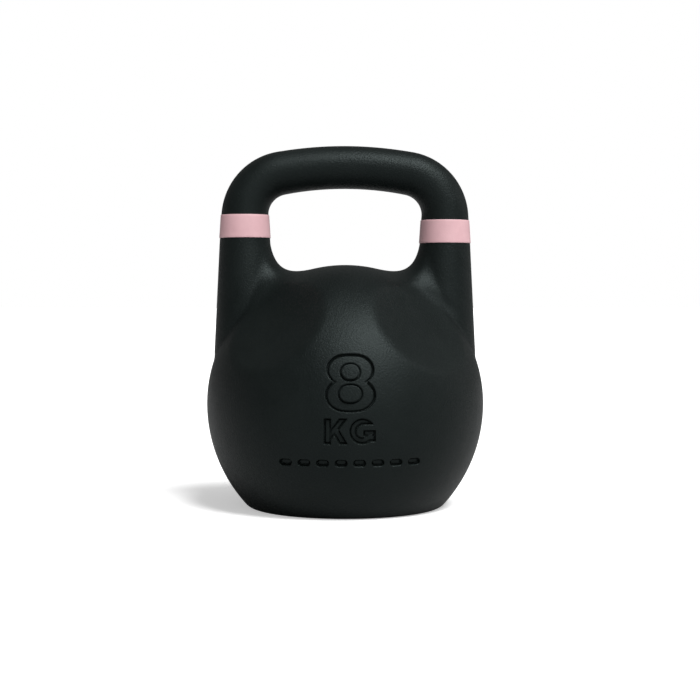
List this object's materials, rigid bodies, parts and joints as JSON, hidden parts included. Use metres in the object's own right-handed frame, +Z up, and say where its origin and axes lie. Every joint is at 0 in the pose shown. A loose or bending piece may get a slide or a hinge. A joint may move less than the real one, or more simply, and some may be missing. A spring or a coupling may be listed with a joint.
{
  "type": "kettlebell",
  "caption": "Competition-style kettlebell with a round hollow steel body, flat base, coated steel grip bar and coloured horn bands.",
  "frame": {"origin": "centre of the base, on the floor", "axes": "+Z up, X along the grip, the weight mark faces -Y"},
  "size_m": [0.2112, 0.2112, 0.2751],
  "materials": {
    "black_coat": "matt black powder coat on steel",
    "pink_coat": "satin pink enamel",
    "bare_steel": "turned steel",
    "seal_rubber": "matt rubber",
    "shot_resin": "rough steel shot set in resin"
  },
  "bodies": {
    "root": {"bell_body": "black_coat", "grip_bar": "black_coat", "left_band": "pink_coat", "right_band": "pink_coat", "core_plug": "bare_steel", "plug_seal": "seal_rubber", "trim_ballast": "shot_resin"}
  },
  "joints": []
}
